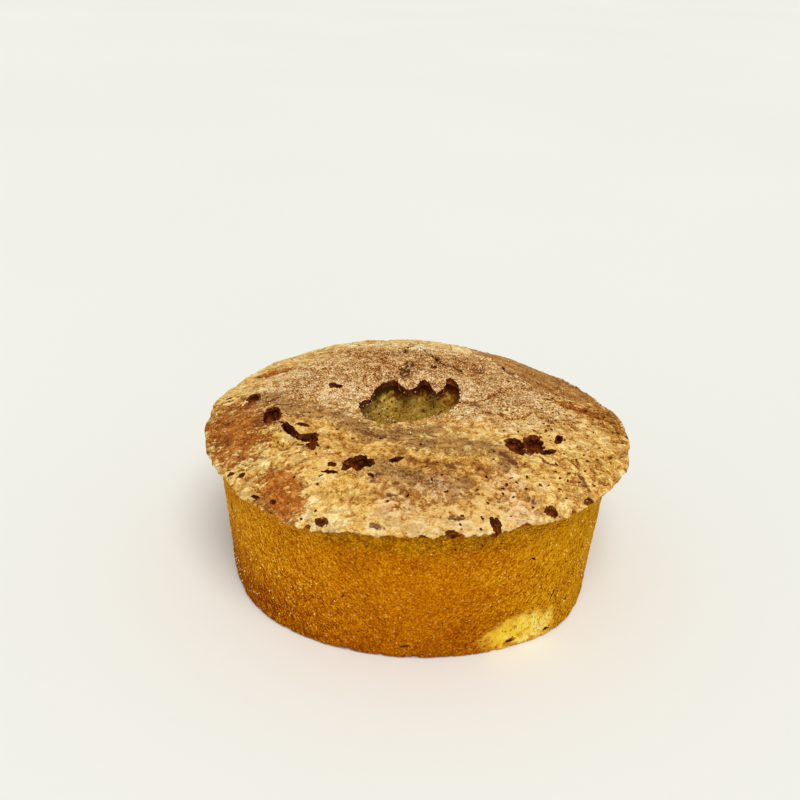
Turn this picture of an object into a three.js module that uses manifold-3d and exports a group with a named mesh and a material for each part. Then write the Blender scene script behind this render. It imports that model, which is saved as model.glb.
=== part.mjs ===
// Ring-shaped apple cake, baked in a tube tin and turned out the right way up. One solid: a wall that
// tapers in towards the table, a domed crust that spread over the tin's edge and tore open in
// crags, and a hole where the tin's tube stood. Millimetres, +Z up, the origin on the table
// under the middle of the crust.

import * as THREE from 'three';
import { ParametricGeometry } from 'three/addons/geometries/ParametricGeometry.js';
import { mergeGeometries, mergeVertices } from 'three/addons/utils/BufferGeometryUtils.js';
import Module from 'manifold-3d';

const { clamp, degToRad, lerp, seededRandom } = THREE.MathUtils;

// Wall, as the tin shaped it, below the flare that carries the crust's rim. The crust slumped to
// one side, so the tin's axis is off the origin.
const TIN_CENTRE = new THREE.Vector2(-2.8, -1);
const BASE_RADIUS = 108;
const WALL_TOP_RADIUS = 113.3;
const WALL_HEIGHT = 62;
const BASE_EDGE = 2.5;

// Crust, from its rim over the crest to the lip of the hole
const RIM_RADIUS = 122;
const RIM_HEIGHT = 85.3;
const RIM_EDGE = 2.4;
const FLARE_DROP = 3.3;
const DOME_RISE = 13;
const CREST_SHARE = 0.73;
const LIP_DIP = 1.6;
const LIP_EDGE = 3;

// Hole, narrow at the lip, wider at the table, hollowed out just under the crust
const LIP_CENTRE = new THREE.Vector2(-4, 3);
const LIP_RADIUS = 29;
const HOLE_BASE_RADIUS = 34;
const UNDERCUT = 2.5;
const UNDERCUT_HEIGHT = 13;

// Unevenness round the ring: each wave adds size * cos(lobes * (angle - peak)), peak in degrees
const WALL_WAVES = [
  { lobes: 2, size: 2.4, peak: -40 },
  { lobes: 7, size: 0.4, peak: 11 },
];
const RIM_WAVES = [
  { lobes: 2, size: 1.3, peak: 0 },
  { lobes: 3, size: 0.5, peak: -36 },
  { lobes: 13, size: 0.6, peak: 5 },
  { lobes: 22, size: 0.5, peak: 9 },
  { lobes: 31, size: 0.5, peak: 2 },
];
const RIM_LIFT_WAVES = [
  { lobes: 1, size: 1.2, peak: 198 },
  { lobes: 2, size: 0.9, peak: -30 },
  { lobes: 3, size: 1.9, peak: -25 },
];
const RIM_RIPPLE_WAVES = [
  { lobes: 17, size: 0.5, peak: 4 },
  { lobes: 29, size: 0.4, peak: 7 },
];
const LIP_WAVES = [
  { lobes: 2, size: 2, peak: 15 },
  { lobes: 3, size: 2.2, peak: 20 },
  { lobes: 11, size: 0.9, peak: 90 },
  { lobes: 19, size: 0.6, peak: 84 },
];
const LIP_RIPPLE_WAVES = [
  { lobes: 9, size: 0.9, peak: 70 },
  { lobes: 14, size: 0.7, peak: 84 },
];
const RIPPLE_FADE = 9;

// Low swells on the crust: height of the swells and the length of one swell along X and Y
const SWELL_HEIGHT = 0.9;
const SWELL_LENGTH_X = 47;
const SWELL_LENGTH_Y = 39;

// Crags torn in the crust: angle round the cake and inset from the rim to the crag's middle, its
// size along and across its heading, and how deep it goes
const CRAGS = [
  { angle: 176, inset: 27, length: 11, width: 9, depth: 5, heading: 10 },
  { angle: 193, inset: 38, length: 16, width: 13, depth: 8, heading: -30 },
  { angle: 211, inset: 42, length: 20, width: 9, depth: 7, heading: -57 },
  { angle: 222, inset: 45, length: 17, width: 11, depth: 9, heading: -50 },
  { angle: 239, inset: 33, length: 11, width: 4, depth: 4, heading: -30 },
  { angle: 247, inset: 41, length: 17, width: 13, depth: 10, heading: 5 },
  { angle: 266, inset: 52, length: 8, width: 4, depth: 4, heading: 20 },
  { angle: 164, inset: 70, length: 8, width: 6, depth: 4, heading: 0 },
  { angle: 318, inset: 52, length: 14, width: 11, depth: 8, heading: -55 },
  { angle: 327, inset: 48, length: 17, width: 13, depth: 10, heading: 80 },
  { angle: 326, inset: 39, length: 10, width: 5, depth: 5, heading: 25 },
  { angle: 337, inset: 40, length: 9, width: 5, depth: 5, heading: 50 },
  { angle: 289, inset: 5, length: 17, width: 7, depth: 8, heading: -71 },
  { angle: 306, inset: 7, length: 8, width: 8, depth: 6, heading: 0 },
  { angle: 317, inset: 2, length: 7, width: 6, depth: 4, heading: -43 },
  { angle: 278, inset: 1, length: 9, width: 5, depth: 4, heading: 5 },
  { angle: 246, inset: 4, length: 8, width: 5, depth: 4, heading: -25 },
];

// Scars where the thin skin flaked off the crust, described like the crags but shallow
const FLAKES = [
  { angle: 194, inset: 21, length: 62, width: 44, depth: 2.4, heading: 100 },
  { angle: 233, inset: 14, length: 40, width: 28, depth: 1.9, heading: -45 },
  { angle: 6, inset: 21, length: 44, width: 14, depth: 1.7, heading: -15 },
];
const CRAG_SINK = 0.15;
const CRAG_RAGGEDNESS = 0.22;
const CRAG_DETAIL = 2;

// Patch on the wall where the brown skin came away at the foot
const CHIP = { angle: -58, height: 9, width: 44, tall: 26, depth: 2.2 };
const CHIP_BULGE = 9;

// Facets: sectors round the cake and rows along each stretch of its outline
const SECTORS = 108;
const ROWS = { wall: 8, flare: 4, crust: 13, hole: 8, base: 1 };
const WALL_ROW_EASE = 1.6;
const CRUST_ROW_EASE = 0.6;
const HOLE_ROW_EASE = 1.7;

const UP = new THREE.Vector3(0, 0, 1);
const NORMAL_STEP = 0.02;

function sumOfWaves(waves, angle) {
  return waves.reduce((sum, { lobes, size, peak }) => {
    return sum + size * Math.cos(lobes * (angle - degToRad(peak)));
  }, 0);
}

// How far a rounded edge stands back at a distance from its corner
function edgeSetback(distance, size) {
  const reach = clamp(1 - distance / size, 0, 1);
  return size * (1 - Math.sqrt(1 - reach * reach));
}

function ringPoint(centre, radius, angle) {
  return new THREE.Vector2(Math.cos(angle), Math.sin(angle)).multiplyScalar(radius).add(centre);
}

// Wall from the table, share 0, up to the start of the flare, share 1
function wallPoint(angle, share) {
  const height = WALL_HEIGHT * share;
  const taper = lerp(BASE_RADIUS, WALL_TOP_RADIUS, share) + sumOfWaves(WALL_WAVES, angle);
  const plan = ringPoint(TIN_CENTRE, taper - edgeSetback(height, BASE_EDGE), angle);
  return new THREE.Vector3(plan.x, plan.y, height);
}

// Rise of the dome over the rim, highest at the crest, dipping again towards the hole
function domeRise(share) {
  const climb = Math.min(share / CREST_SHARE, 1);
  const past = Math.max((share - CREST_SHARE) / (1 - CREST_SHARE), 0);
  return DOME_RISE * Math.sin(climb * Math.PI / 2) - LIP_DIP * past * past;
}

function swell(plan) {
  const across = Math.sin(2 * Math.PI * plan.x / SWELL_LENGTH_X);
  const along = Math.cos(2 * Math.PI * plan.y / SWELL_LENGTH_Y);
  return SWELL_HEIGHT * across * along;
}

function rimPlan(angle) {
  return ringPoint(new THREE.Vector2(), RIM_RADIUS + sumOfWaves(RIM_WAVES, angle), angle);
}

function lipPlan(angle) {
  return ringPoint(LIP_CENTRE, LIP_RADIUS + sumOfWaves(LIP_WAVES, angle), angle);
}

// Crust from the edge of the rim, share 0, to the lip of the hole, share 1
function crustPoint(angle, share) {
  const rim = rimPlan(angle);
  const lip = lipPlan(angle);
  const width = rim.distanceTo(lip);
  const plan = rim.lerp(lip, share);
  const lift = sumOfWaves(RIM_LIFT_WAVES, angle) * (1 - share);
  const rimRipple = sumOfWaves(RIM_RIPPLE_WAVES, angle) * (1 - share) ** RIPPLE_FADE;
  const lipRipple = sumOfWaves(LIP_RIPPLE_WAVES, angle) * share ** RIPPLE_FADE;
  const swells = swell(plan) * Math.sin(Math.PI * share);
  const edges = edgeSetback(share * width, RIM_EDGE) + edgeSetback((1 - share) * width, LIP_EDGE);
  const height = RIM_HEIGHT + domeRise(share) + lift + rimRipple + lipRipple + swells - edges;
  return new THREE.Vector3(plan.x, plan.y, height);
}

function crustNormal(angle, share) {
  const around = crustPoint(angle + NORMAL_STEP, share).sub(crustPoint(angle - NORMAL_STEP, share));
  const inward = crustPoint(angle, share + NORMAL_STEP).sub(crustPoint(angle, share - NORMAL_STEP));
  return around.cross(inward).normalize();
}

// Flare under the rim: the wall's line carried on upwards, then curving out to the crust's edge
function flarePoint(angle, share) {
  const rimEdge = crustPoint(angle, 0);
  const corner = wallPoint(angle, (rimEdge.z - FLARE_DROP) / WALL_HEIGHT);
  return new THREE.QuadraticBezierCurve3(wallPoint(angle, 1), corner, rimEdge).getPoint(share);
}

// Hole from the lip down to the table
function holePoint(angle, share) {
  const lip = crustPoint(angle, 1);
  const foot = ringPoint(TIN_CENTRE, HOLE_BASE_RADIUS, angle);
  const point = lip.clone().lerp(new THREE.Vector3(foot.x, foot.y, 0), share);
  const below = clamp((lip.z - point.z) / UNDERCUT_HEIGHT, 0, 1);
  const hollow = ringPoint(new THREE.Vector2(), UNDERCUT * Math.sin(Math.PI * below), angle);
  return point.add(new THREE.Vector3(hollow.x, hollow.y, 0));
}

// Flat base from the hole out to the foot of the wall
function basePoint(angle, share) {
  return holePoint(angle, 1).lerp(wallPoint(angle, 0), share);
}

// One stretch of the outline carried round the cake, with its rows spread by an easing
function stretch(point, rows, ease) {
  const surface = (turn, along, target) => {
    target.copy(point((turn % 1) * 2 * Math.PI, ease(along)));
  };
  return new ParametricGeometry(surface, SECTORS, rows);
}

function weld(geometry) {
  geometry.deleteAttribute('normal');
  geometry.deleteAttribute('uv');
  return mergeVertices(geometry);
}

function uncutCake() {
  const evenly = (along) => along;
  const closeAtEnds = (along) => along - CRUST_ROW_EASE * Math.sin(2 * Math.PI * along) / (2 * Math.PI);
  return weld(mergeGeometries([
    stretch(wallPoint, ROWS.wall, (along) => along ** WALL_ROW_EASE),
    stretch(flarePoint, ROWS.flare, evenly),
    stretch(crustPoint, ROWS.crust, closeAtEnds),
    stretch(holePoint, ROWS.hole, (along) => along ** HOLE_ROW_EASE),
    stretch(basePoint, ROWS.base, evenly),
  ]));
}

// Rough stone whose corners stand in and out by a seeded draw
function raggedStone(seed) {
  const stone = weld(new THREE.IcosahedronGeometry(1, CRAG_DETAIL));
  const corners = stone.attributes.position;
  const corner = new THREE.Vector3();
  seededRandom(seed);
  for (let i = 0; i < corners.count; i += 1) {
    const reach = 1 + CRAG_RAGGEDNESS * (2 * seededRandom() - 1);
    corner.fromBufferAttribute(corners, i).multiplyScalar(reach);
    corners.setXYZ(i, corner.x, corner.y, corner.z);
  }
  return stone;
}

// Stone sunk square to the crust, so that what it takes away is a crag or a scar
function cragCutter({ angle, inset, length, width, depth, heading }, seed) {
  const turn = degToRad(angle);
  const share = inset / rimPlan(turn).distanceTo(lipPlan(turn));
  const normal = crustNormal(turn, share);
  const middle = crustPoint(turn, share).addScaledVector(normal, -CRAG_SINK * depth);
  return raggedStone(seed)
    .scale(length / 2, width / 2, depth * (1 - CRAG_SINK))
    .rotateZ(degToRad(heading))
    .applyQuaternion(new THREE.Quaternion().setFromUnitVectors(UP, normal))
    .translate(middle.x, middle.y, middle.z);
}

function chipCutter({ angle, height, width, tall, depth }, seed) {
  const turn = degToRad(angle);
  const face = wallPoint(turn, height / WALL_HEIGHT);
  const outward = CHIP_BULGE - depth;
  return raggedStone(seed)
    .scale(CHIP_BULGE, width / 2, tall / 2)
    .rotateZ(turn)
    .translate(face.x + outward * Math.cos(turn), face.y + outward * Math.sin(turn), height);
}

const wasm = await Module();
wasm.setup();

function toSolid(geometry) {
  return new wasm.Manifold(new wasm.Mesh({
    numProp: 3,
    vertProperties: geometry.attributes.position.array,
    triVerts: new Uint32Array(geometry.index.array),
  }));
}

function toGeometry(solid) {
  const { vertProperties, triVerts } = solid.getMesh();
  const geometry = new THREE.BufferGeometry();
  geometry.setAttribute('position', new THREE.BufferAttribute(vertProperties, 3));
  geometry.setIndex(new THREE.BufferAttribute(triVerts, 1));
  geometry.computeVertexNormals();
  return geometry;
}

const cutters = [
  ...[...FLAKES, ...CRAGS].map((tear, place) => cragCutter(tear, place + 1)),
  chipCutter(CHIP, FLAKES.length + CRAGS.length + 1),
];
const tornCake = cutters.reduce((solid, cutter) => solid.subtract(toSolid(cutter)), toSolid(uncutCake()));

const crust = new THREE.MeshStandardMaterial({ color: 0xbf8b4a, roughness: 0.85, metalness: 0 });
const cake = new THREE.Mesh(toGeometry(tornCake), crust);
cake.name = 'cake';

const part = new THREE.Group();
part.add(cake);

export default part;
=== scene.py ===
import functools
import math

import bpy
from mathutils import Euler, Matrix, Vector


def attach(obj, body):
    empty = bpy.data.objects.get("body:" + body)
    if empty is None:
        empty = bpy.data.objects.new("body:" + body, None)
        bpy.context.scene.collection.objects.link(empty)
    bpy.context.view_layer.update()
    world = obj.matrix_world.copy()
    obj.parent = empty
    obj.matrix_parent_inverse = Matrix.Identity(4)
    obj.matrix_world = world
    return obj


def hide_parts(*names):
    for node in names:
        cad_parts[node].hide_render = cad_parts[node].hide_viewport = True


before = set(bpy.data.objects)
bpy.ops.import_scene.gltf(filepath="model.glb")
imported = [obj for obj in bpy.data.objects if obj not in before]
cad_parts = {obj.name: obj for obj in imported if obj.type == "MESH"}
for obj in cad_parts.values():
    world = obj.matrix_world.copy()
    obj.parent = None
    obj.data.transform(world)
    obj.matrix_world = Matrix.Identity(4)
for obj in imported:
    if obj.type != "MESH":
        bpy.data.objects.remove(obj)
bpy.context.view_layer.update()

# Crumb
# The soft body of the cake: a batter of eggs, oil and grated apple that set in one mass against the
# tin and its tube. It is browned where it touched the metal, and the crust lies on top of it.

MM = 0.001
TO_MM = 1 / MM
DEGREE = math.pi / 180
FULL_TURN = 2 * math.pi

CAKE_SIZES = {
    "base radius": 108 * MM,
    "wall top radius": 113.3 * MM,
    "wall height": 62 * MM,
    "base edge": 2.5 * MM,
    "rim radius": 122 * MM,
    "rim height": 85.3 * MM,
    "rim edge": 1.5 * MM,
    "flare drop": 3.3 * MM,
    "dome rise": 13 * MM,
    "crest share": 0.64,
    "lip dip": 3.7 * MM,
    "lip edge": 3 * MM,
    "lip radius": 12 * MM,
    "tongue hang": 2 * MM,
    "tube radius": 33 * MM,
    "hole base radius": 34 * MM,
    "undercut": 2.5 * MM,
    "undercut height": 13 * MM,
    "swell height": 0.9 * MM,
}
TIN_CENTRE = (-2.8 * MM, -1 * MM)
LIP_CENTRE = (-4 * MM, 3 * MM)
SWELL_LENGTHS = (47 * MM, 39 * MM)

# Unevenness round the ring: lobes, size in millimetres and the peak's angle in degrees
WALL_WAVES = [(2, 2.4, -40), (7, 0.4, 11)]
RIM_WAVES = [(2, 1.3, 0), (3, 0.9, -32), (13, 0.6, 5), (22, 0.4, 9), (31, 0.3, 2)]
RIM_LIFT_WAVES = [(1, 1.2, 198), (2, 0.9, -30), (3, 1.9, -25)]
TUBE_WAVES = [(2, 5, 42)]

# Stretches where the rim stands higher or hangs lower: middle and half-width in degrees, lift in
# millimetres
RIM_BENDS = [(242, 14, -4.6), (288, 38, 2.4), (221, 34, -6.4), (315, 36, -2.9)]
RIM_BEND_FADE = 6

# Stretches where the foot of the wall spread: middle and half-width in degrees, spread in millimetres
FOOT_BULGES = [(228, 42, 4.6), (314, 34, 4.2)]

# The lip's far side, which sagged into the hole: where it lies, and how it fades sideways and outwards
TONGUE_ANGLE = 65 * DEGREE
TONGUE_TAPER = 3
TONGUE_FADE = 9

# Crags torn in the crust: angle in degrees, inset from the rim, length, width and depth in
# millimetres, heading in degrees
CRAGS = [
    (176.2, 25.8, 8.5, 7.5, 4, 60),
    (194.8, 38, 16, 10, 9, -77),
    (211, 41.8, 22, 4.6, 7, -57),
    (219.3, 47.1, 11, 5, 7, 11),
    (224, 46.4, 15, 4.6, 8, -88),
    (222.4, 44.5, 16, 5.4, 9, -51),
    (210, 50, 8, 2.5, 3, -15),
    (239, 36, 5, 3, 4, -30),
    (240, 31, 8, 2.5, 3, -15),
    (246.9, 42.2, 16, 11.5, 10, 6),
    (250.6, 46.4, 6, 3, 4, 14),
    (262, 51, 7, 3.5, 3, 20),
    (254, 37, 3, 2, 2, 0),
    (164, 70, 8, 6, 4, 0),
    (316.5, 51, 12.5, 10, 6, -55),
    (323.1, 44, 15, 10.5, 6.5, 80),
    (74.8, 72.3, 3.5, 5, 2.5, 0),
    (323.5, 35.5, 9, 3.5, 5, 25),
    (334, 38, 9, 4, 5, 70),
    (289, 3.4, 9.5, 4.6, 5.5, -73),
    (304.6, 5, 5.8, 6.6, 2.8, 0),
    (316.4, 0.8, 6, 5.4, 4, -43),
    (278, 0.5, 7, 3.5, 3, 5),
    (246, 3.4, 7, 4, 1.6, -25),
    (214, 3, 4, 2, 2, 0),
    (217, 6, 4, 2.5, 2.5, 10),
    (226, 3, 4, 2, 2, -20),
    (231, 5, 3, 2.2, 2, 0),
    (174, 10, 3.5, 2.5, 2, 0),
]

# A crag is cut by a ragged stone: how deep it is sunk, how fine, lumpy and spiky it is, how much wider
# the crag is under the crust, and the step over which the crust's slope is taken
CRAG_SINK = 0.15
CRAG_DETAIL = 4
CRAG_LUMPS = 1
CRAG_SPIKES = 2.4
CRUMB_CRAG_SPREAD = 1.16
SLOPE_STEP = 0.02

# Slits in the wall: angle in degrees, height, length, width and depth in millimetres, heading in
# degrees
WALL_SLITS = [
    (-60.5, 6, 5, 1.6, 1.1, 12),
    (-48.3, 5, 2.4, 1.2, 1.2, 0),
    (-47.4, 27, 6.5, 1.3, 2, 65),
    (-56.5, 58.4, 3.5, 1.3, 1.8, -35),
    (-155, 52.3, 5.5, 1.5, 2, 70),
    (-90.5, 9, 5, 1.6, 1.2, 10),
    (128, 40, 7, 1.5, 2, 30),
    (60, 22, 6, 1.4, 2, -25),
]
FIRST_SLIT_SEED = 40

# How finely the crumb is divided, how it is tucked under the crust, and where its edges are hard
CRUMB_SECTORS = 700
CRUMB_ROWS = {"wall": 50, "flare": 20, "top": 8, "hole": 22, "base": 1}
RIM_TUCK = 1 * MM
TOP_TUCK = 0.75
HOLE_ROW_EASE = 1.7
WELD_GAP = 0.005 * MM
BREAK_ANGLE = 55 * DEGREE
TOP_TORN = 0.5

WALL_PIT_SMALL = (0.4 * MM, 0.3 * MM, 0.6 * MM)
WALL_PIT_LARGE = (1.1 * MM, 0.7 * MM, 1.1 * MM)
WALL_PIT_SHARE = 0.05

# The chip at the foot: its heading, and its middle's height, width and tallness in millimetres
CHIP = {"angle": -58 * DEGREE, "height": 9, "width": 47, "tall": 26}

# The batter's strands: turn for each millimetre of height, and how far they are drawn out
FIBRE_TWIST = 1 / 190
FIBRE_STRETCH = 0.5


class Wire:
    """A socket of a node tree. Arithmetic adds Math nodes, or Vector Math nodes for a vector."""

    def __init__(self, tree, socket=None):
        self.tree = tree
        self.socket = socket

    @staticmethod
    def find(sockets, key):
        """The socket in use that has this place, name or identifier."""
        usable = [socket for socket in sockets if socket.enabled]
        if isinstance(key, int):
            return usable[key]
        return next(socket for socket in usable if key in (socket.name, socket.identifier))

    def node(self, kind, settings=None, inputs=None, out=0):
        """Add a node, its settings first and then the values or links of its sockets."""
        made = self.tree.nodes.new(kind)
        for name, value in (settings or {}).items():
            setattr(made, name, value)
        for key, value in (inputs or {}).items():
            socket = self.find(made.inputs, key)
            for item in value if isinstance(value, list) else [value]:
                if isinstance(item, Wire):
                    self.tree.links.new(item.socket, socket)
                else:
                    socket.default_value = item
        return Wire(self.tree, self.find(made.outputs, out))

    def out(self, key):
        return Wire(self.tree, self.find(self.socket.node.outputs, key))

    def is_vector(self):
        return self.socket.type in ("VECTOR", "RGBA")

    def reckon(self, operation, *terms):
        vector = any(isinstance(t, tuple) or isinstance(t, Wire) and t.is_vector() for t in terms)
        kind = "ShaderNodeVectorMath" if vector else "ShaderNodeMath"
        spread = [(t,) * 3 if vector and isinstance(t, (int, float)) else t for t in terms]
        return self.node(kind, {"operation": operation}, dict(enumerate(spread)))

    def __add__(self, other):
        return self.reckon("ADD", self, other)

    def __radd__(self, other):
        return self.reckon("ADD", other, self)

    def __sub__(self, other):
        return self.reckon("SUBTRACT", self, other)

    def __rsub__(self, other):
        return self.reckon("SUBTRACT", other, self)

    def __mul__(self, other):
        return self.reckon("MULTIPLY", self, other)

    def __rmul__(self, other):
        return self.reckon("MULTIPLY", other, self)

    def __truediv__(self, other):
        return self.reckon("DIVIDE", self, other)

    def __rtruediv__(self, other):
        return self.reckon("DIVIDE", other, self)

    def __pow__(self, other):
        return self.reckon("POWER", self, other)

    def __abs__(self):
        return self.reckon("ABSOLUTE", self)


def step(operation, plain, *terms):
    """One step of a rule, on numbers or on wires."""
    wire = next((term for term in terms if isinstance(term, Wire)), None)
    return wire.reckon(operation, *terms) if wire else plain(*terms)


def sine(x):
    return step("SINE", math.sin, x)


def cosine(x):
    return step("COSINE", math.cos, x)


def root(x):
    return step("SQRT", math.sqrt, x)


def least(a, b):
    return step("MINIMUM", min, a, b)


def most(a, b):
    return step("MAXIMUM", max, a, b)


def between(value, low, high):
    return least(most(value, low), high)


def blend(a, b, share):
    """The point or number at this share of the way from a to b."""
    if isinstance(a, tuple):
        return tuple(blend(p, q, share) for p, q in zip(a, b))
    return a + (b - a) * share


def far(x, y):
    return root(x * x + y * y)


def edge_setback(distance, size):
    """How far a rounded edge stands back at a distance from its corner."""
    reach = between(1 - distance / size, 0, 1)
    return size * (1 - root(1 - reach * reach))


class CakeOutline:
    """The cake's outline by angle and by share of a stretch, on numbers or on wires."""

    def __init__(self, size):
        self.size = size

    @functools.cache
    def lobes(self, angle, count):
        return cosine(count * angle), sine(count * angle)

    def waves(self, table, angle):
        total = 0
        for count, size, peak in table:
            even, odd = self.lobes(angle, count)
            turn = count * peak * DEGREE
            total = total + even * (size * MM * math.cos(turn)) + odd * (size * MM * math.sin(turn))
        return total

    def ring(self, centre, radius, angle):
        across, along = self.lobes(angle, 1)
        return (centre[0] + radius * across, centre[1] + radius * along)

    @functools.cache
    def wall_unevenness(self, angle):
        return self.waves(WALL_WAVES, angle)

    def towards(self, angle, aim):
        """Cosine of the angle from the aim."""
        even, odd = self.lobes(angle, 1)
        return even * math.cos(aim) + odd * math.sin(aim)

    def bends(self, table, angle):
        total = 0
        for middle, spread, size in table:
            limit = math.cos(spread * DEGREE)
            near = most((self.towards(angle, middle * DEGREE) - limit) / (1 - limit), 0)
            total = total + near * near * (size * MM)
        return total

    @functools.cache
    def foot_bulge(self, angle):
        return self.bends(FOOT_BULGES, angle)

    def wall(self, angle, share):
        size = self.size
        height = size["wall height"] * share
        setback = edge_setback(height, size["base edge"])
        radius = blend(size["base radius"], size["wall top radius"], share) - setback
        lowness = most(1 - share, 0)
        radius = radius + self.wall_unevenness(angle) + self.foot_bulge(angle) * lowness * lowness
        return (*self.ring(TIN_CENTRE, radius, angle), height)

    @functools.cache
    def rim(self, angle):
        return self.ring((0, 0), self.size["rim radius"] + self.waves(RIM_WAVES, angle), angle)

    @functools.cache
    def rim_lift(self, angle):
        return self.waves(RIM_LIFT_WAVES, angle)

    @functools.cache
    def rim_bend(self, angle):
        return self.bends(RIM_BENDS, angle)

    @functools.cache
    def tongue(self, angle):
        """1 in the middle of the lip's far side, which sagged into the hole, 0 on the near side."""
        return most(self.towards(angle, TONGUE_ANGLE), 0) ** TONGUE_TAPER

    @functools.cache
    def lip(self, angle):
        return self.ring(LIP_CENTRE, self.size["lip radius"], angle)

    @functools.cache
    def width(self, angle):
        """Width of the crust from the rim to the lip."""
        rim, lip = self.rim(angle), self.lip(angle)
        return far(rim[0] - lip[0], rim[1] - lip[1])

    def dome(self, share):
        """Rise over the rim, highest at the crest, dipping again towards the hole."""
        crest = self.size["crest share"]
        climb = least(share / crest, 1)
        past = most((share - crest) / (1 - crest), 0)
        return self.size["dome rise"] * sine(climb * (math.pi / 2)) - self.size["lip dip"] * past * past

    @functools.cache
    def crust_line(self, angle, share):
        """The crust's upper side before its edges are rounded, from the rim, 0, to the lip, 1."""
        x, y = blend(self.rim(angle), self.lip(angle), share)
        across = sine(x * (FULL_TURN / SWELL_LENGTHS[0]))
        along = cosine(y * (FULL_TURN / SWELL_LENGTHS[1]))
        swell = self.size["swell height"] * across * along * sine(share * math.pi)
        hang = self.size["tongue hang"] * self.tongue(angle) * share ** TONGUE_FADE
        lift = self.rim_lift(angle) * (1 - share) + self.rim_bend(angle) * (1 - share) ** RIM_BEND_FADE
        return (x, y, self.size["rim height"] + self.dome(share) + lift + swell - hang)

    def crust_top(self, angle, share):
        x, y, height = self.crust_line(angle, share)
        width = self.width(angle)
        rim_edge = edge_setback(share * width, self.size["rim edge"])
        lip_edge = edge_setback((1 - share) * width, self.size["lip edge"])
        return (x, y, height - rim_edge - lip_edge)

    def crust_level(self, angle, share, depth):
        """A level at this share of the crust's thickness, with 1 at its underside."""
        x, y, height = self.crust_line(angle, share)
        return (x, y, height - depth * blend(self.size["rim edge"], self.size["lip edge"], share))

    def crust_under(self, angle, share):
        return self.crust_level(angle, 1 - share, 1)

    @functools.cache
    def crumb_top(self, angle, share):
        """Upper side of the crumb, inside the crust's thickness, from near the rim to the tube's hole."""
        width = self.width(angle)
        tuck = self.size["tube radius"] + self.waves(TUBE_WAVES, angle) - self.size["lip radius"]
        return self.crust_level(angle, blend(RIM_TUCK / width, 1 - tuck / width, share), TOP_TUCK)

    def flare(self, angle, share):
        """The wall's line carried on upwards, then curving out under the crust's edge."""
        edge = self.crumb_top(angle, 0)
        corner = self.wall(angle, (edge[2] - self.size["flare drop"]) / self.size["wall height"])
        return blend(blend(self.wall(angle, 1), corner, share), blend(corner, edge, share), share)

    def hole(self, angle, share):
        """Hole from under the lip down to the table, hollowed out just below the crust."""
        lip = self.crumb_top(angle, 1)
        foot = (*self.ring(TIN_CENTRE, self.size["hole base radius"], angle), 0)
        x, y, height = blend(lip, foot, share)
        below = between((lip[2] - height) / self.size["undercut height"], 0, 1)
        return (*self.ring((x, y), self.size["undercut"] * sine(below * math.pi), angle), height)

    def base(self, angle, share):
        return blend(self.hole(angle, 1), self.wall(angle, 0), share)


def together(x, y, z):
    """One vector of three values, at least one of them a wire."""
    wire = next(value for value in (x, y, z) if isinstance(value, Wire))
    return wire.node("ShaderNodeCombineXYZ", None, {"X": x, "Y": y, "Z": z})


def apart(vector):
    """The three values of a vector."""
    x = vector.node("ShaderNodeSeparateXYZ", None, {"Vector": vector})
    return x, x.out("Y"), x.out("Z")


def smooth(value, low, high):
    """A soft ramp from 0 at low to 1 at high. Low may be the larger of the two."""
    return value.node("ShaderNodeMapRange", {"interpolation_type": "SMOOTHSTEP"},
                      {"Value": value, "From Min": low, "From Max": high})


NOISE_SHIFT = (31.7, 17.3, 11.9)


def noise(spot, size, detail=2, roughness=0.5, seed=0, swirl=0):
    """Cloudy noise from 0 to 1, with lumps of this size in millimetres, drawn out by the swirl."""
    shift = tuple(part * seed for part in NOISE_SHIFT)
    return spot.node("ShaderNodeTexNoise", None, {
        "Vector": spot + shift,
        "Scale": 1 / size,
        "Detail": detail,
        "Roughness": roughness,
        "Distortion": swirl,
    })


CELL_SHIFT = (23.1, 41.9, 7.7)


def cells(spot, size, seed):
    """Distance to the nearest of many scattered points, in millimetres, and that point's own draw."""
    shift = tuple(part * seed for part in CELL_SHIFT)
    near = spot.node("ShaderNodeTexVoronoi", None, {"Vector": spot + shift, "Scale": 1 / size})
    return near * size, apart(near.out("Color"))[0]


def mark(geometry, name, value, kind="FLOAT"):
    """Keep a value on every point, under a name that the material can read."""
    return geometry.node("GeometryNodeStoreNamedAttribute", {"data_type": kind, "domain": "POINT"},
                         {"Geometry": geometry, "Name": name, "Value": value})


def marked(ground, name):
    """A value that mark kept, in a mesh's tree."""
    return ground.node("GeometryNodeInputNamedAttribute", {"data_type": "FLOAT"}, {"Name": name})


def new_tree(name, sizes):
    """An empty tree with a named input for each size, and wires to those inputs."""
    tree = bpy.data.node_groups.new(name, "GeometryNodeTree")
    kinds = {
        int: "NodeSocketInt",
        float: "NodeSocketFloat",
        Vector: "NodeSocketVector",
        Euler: "NodeSocketRotation",
        bpy.types.Object: "NodeSocketObject",
    }
    for title, value in sizes.items():
        tree.interface.new_socket(title, in_out="INPUT", socket_type=kinds[type(value)])
    tree.interface.new_socket("Geometry", in_out="OUTPUT", socket_type="NodeSocketGeometry")
    start = tree.nodes.new("NodeGroupInput")
    return Wire(tree), {title: Wire(tree, start.outputs[title]) for title in sizes}


def end_tree(geometry):
    end = geometry.tree.nodes.new("NodeGroupOutput")
    geometry.tree.links.new(geometry.socket, end.inputs["Geometry"])
    return geometry.tree


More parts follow.
